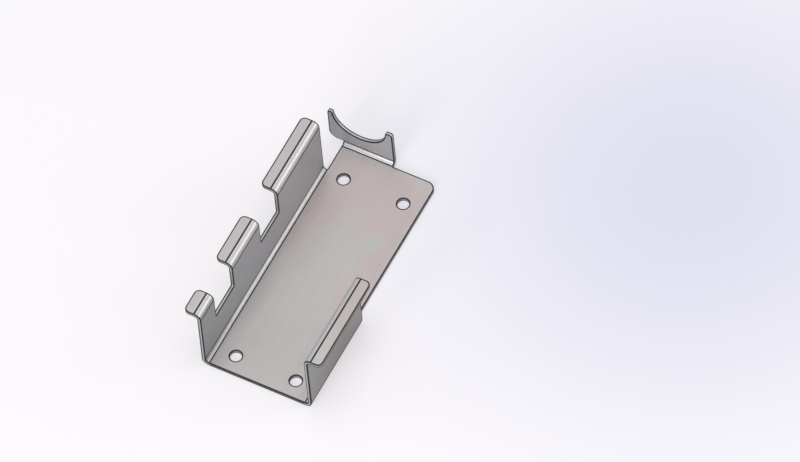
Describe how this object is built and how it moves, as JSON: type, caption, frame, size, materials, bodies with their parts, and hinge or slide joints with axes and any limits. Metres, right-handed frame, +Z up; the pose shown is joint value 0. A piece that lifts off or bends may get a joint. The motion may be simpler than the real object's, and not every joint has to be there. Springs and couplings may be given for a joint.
{
  "type": "sheet metal bracket",
  "caption": "Folded sheet-metal bracket: flat base with bolt holes, lipped side walls, one long and notched, and an upright rear flange with a half-round cradle.",
  "frame": {"origin": "centre of the four bolt holes, on the underside of the base", "axes": "+X along the base from the open front edge to the rear flange, +Y towards the long notched wall, +Z up, square to the base"},
  "size_m": [0.152, 0.08, 0.045],
  "materials": {
    "sheet": "satin, bare rolled sheet"
  },
  "bodies": {
    "root": {"bracket": "sheet"}
  },
  "joints": []
}
